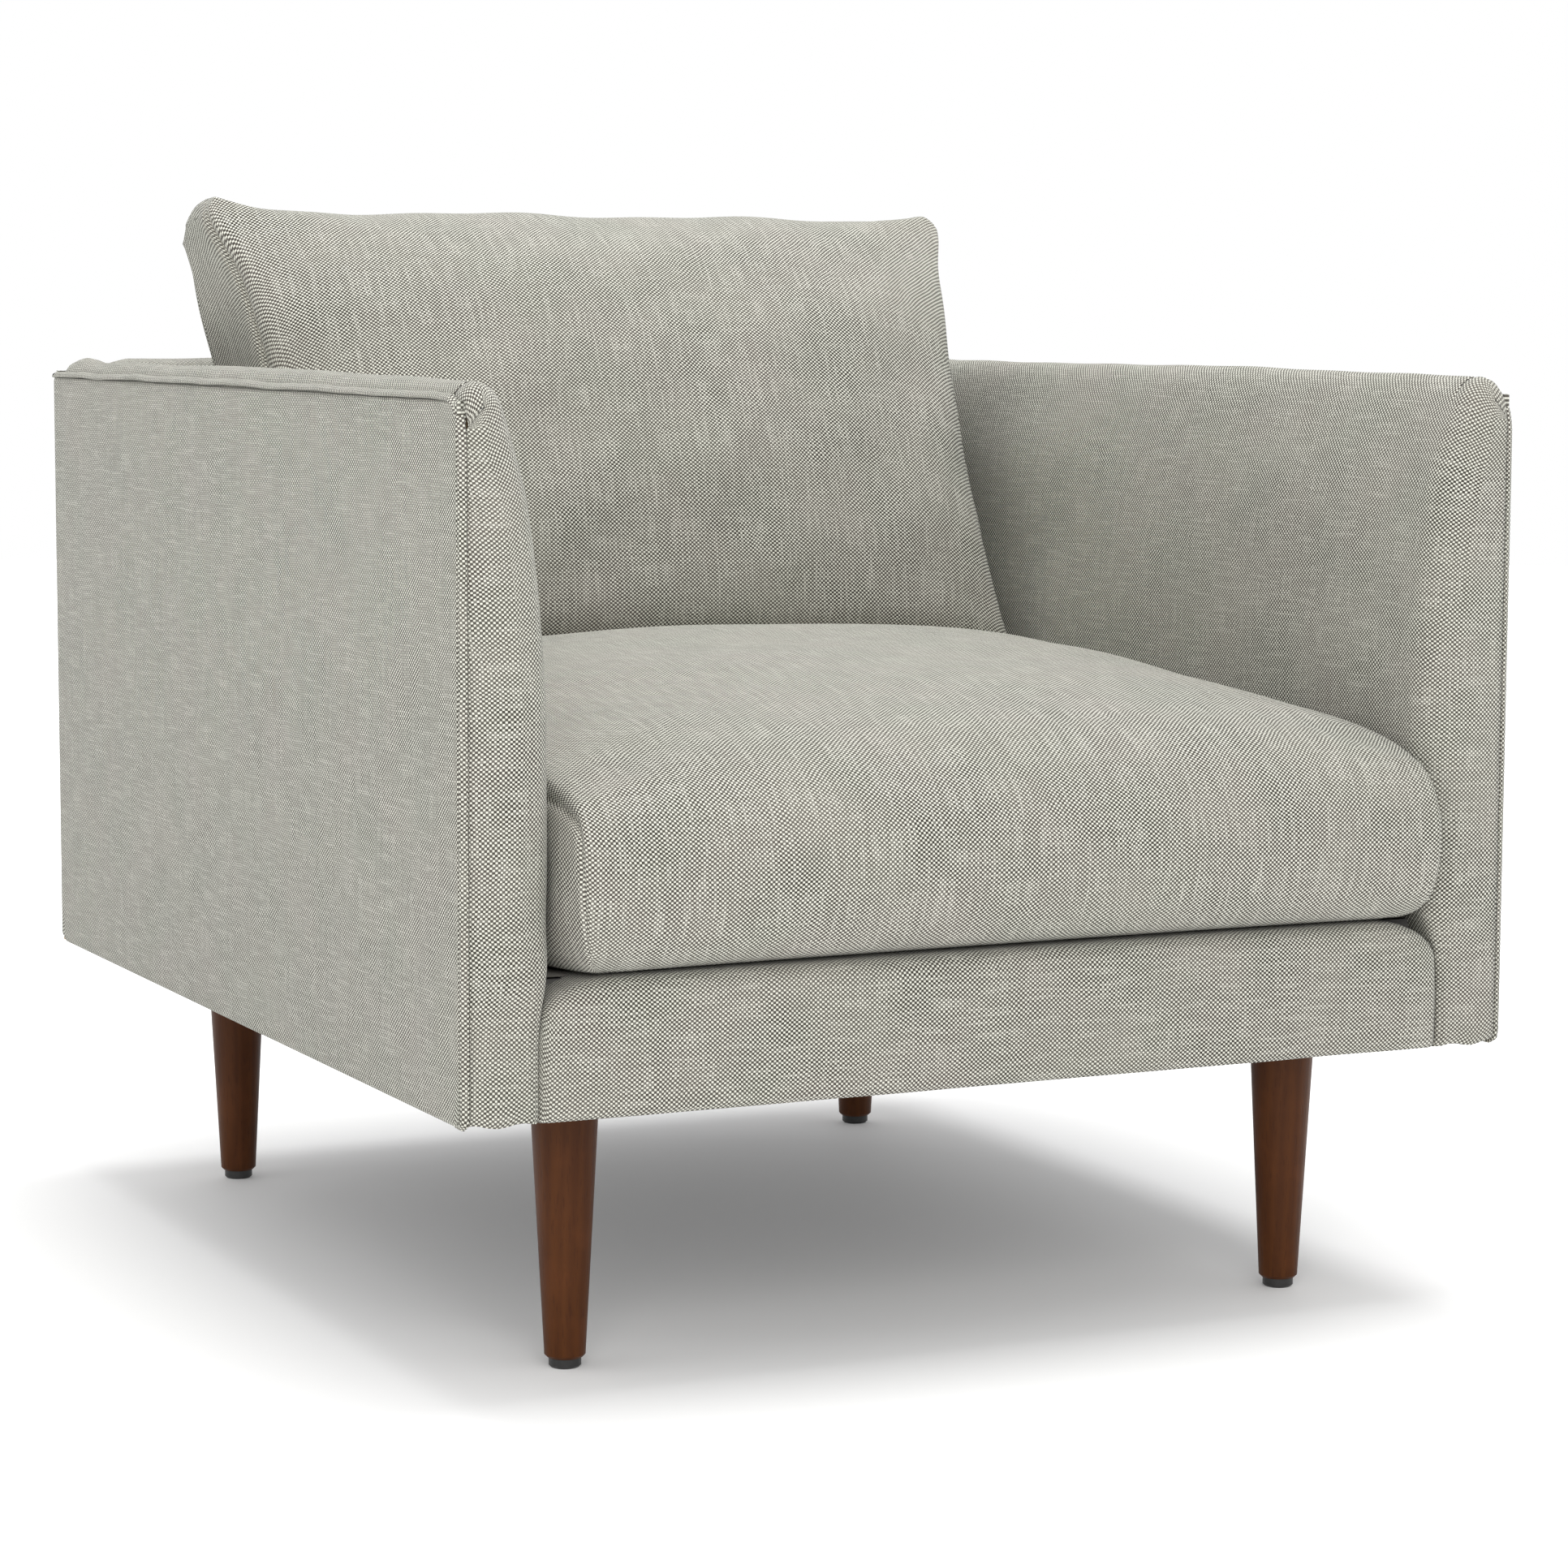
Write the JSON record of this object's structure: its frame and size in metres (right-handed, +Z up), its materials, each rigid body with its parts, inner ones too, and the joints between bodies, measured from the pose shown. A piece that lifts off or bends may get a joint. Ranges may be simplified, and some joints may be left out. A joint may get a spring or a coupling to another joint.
{
  "type": "lounge armchair",
  "caption": "Upholstered lounge armchair with slim straight arms, a loose boxed seat cushion, a loose leaning back cushion and round tapered wooden legs.",
  "frame": {"origin": "on the floor under the middle of the chair", "axes": "-Y is the front, +X is to the right for a person who faces the chair's front, +Z is up"},
  "size_m": [0.81, 0.918, 0.805],
  "materials": {
    "frame_timber": "matte",
    "board": "matte",
    "fastener_steel": "satin",
    "spring_steel": "satin",
    "burlap": "matte",
    "foam": "matte",
    "webbing": "matte",
    "lining_cloth": "matte",
    "dust_cloth": "matte",
    "upholstery_cloth": "matte",
    "leg_wood": "satin",
    "glide_plastic": "satin",
    "zip_tape": "matte",
    "zip_metal": "satin"
  },
  "bodies": {
    "chair": {"seat_rail_front": "frame_timber", "seat_rail_rear": "frame_timber", "seat_rail_left": "frame_timber", "seat_rail_right": "frame_timber", "leg_bearer_left": "frame_timber", "leg_bearer_right": "frame_timber", "corner_blocks": "frame_timber", "arm_post_left": "frame_timber", "arm_post_right": "frame_timber", "arm_rear_post_left": "frame_timber", "arm_rear_post_right": "frame_timber", "arm_rail_left": "frame_timber", "arm_rail_right": "frame_timber", "back_post_left": "frame_timber", "back_post_right": "frame_timber", "back_top_rail": "frame_timber", "back_lower_rail": "frame_timber", "arm_inner_board_left": "board", "arm_inner_board_right": "board", "arm_outer_board_left": "board", "arm_outer_board_right": "board", "back_board": "board", "tack_strip_left": "board", "tack_strip_right": "board", "corner_screws": "fastener_steel", "rail_screws": "fastener_steel", "hanger_bolts": "fastener_steel", "insert_nuts": "fastener_steel", "glide_nails": "fastener_steel", "spring_clips": "fastener_steel", "seat_springs": "spring_steel", "spring_insulator": "burlap", "deck_pad": "foam", "arm_foam_left": "foam", "arm_foam_right": "foam", "back_foam": "foam", "rail_foam": "foam", "back_webbing": "webbing", "deck_cloth": "lining_cloth", "dust_cover": "dust_cloth", "arm_cover_left": "upholstery_cloth", "arm_cover_right": "upholstery_cloth", "arm_side_panel_left": "upholstery_cloth", "arm_side_panel_right": "upholstery_cloth", "inside_back_cover": "upholstery_cloth", "outside_back_panel": "upholstery_cloth", "front_rail_cover": "upholstery_cloth", "leg_front_left": "leg_wood", "leg_front_right": "leg_wood", "leg_rear_left": "leg_wood", "leg_rear_right": "leg_wood", "glides": "glide_plastic"},
    "seat_cushion": {"seat_cushion_cover": "upholstery_cloth", "seat_cushion_core": "foam", "seat_zip": "zip_tape"},
    "back_cushion": {"back_cushion_cover": "upholstery_cloth", "back_cushion_core": "foam", "back_zip": "zip_tape"},
    "seat_slider": {"seat_zip_slider": "zip_metal"},
    "back_slider": {"back_zip_slider": "zip_metal"}
  },
  "joints": [
    {"name": "seat_cushion_slide", "type": "slide", "parent": "chair", "child": "seat_cushion", "axis": [0, -1, 0], "range_m": [0, 0.82]},
    {"name": "back_cushion_lift", "type": "slide", "parent": "chair", "child": "back_cushion", "axis": [0, 0, 1], "range_m": [0, 0.3]},
    {"name": "seat_zip_travel", "type": "slide", "parent": "seat_cushion", "child": "seat_slider", "axis": [1, 0, 0], "range_m": [0, 0.52]},
    {"name": "back_zip_travel", "type": "slide", "parent": "back_cushion", "child": "back_slider", "axis": [1, 0, 0], "range_m": [0, 0.5]}
  ]
}
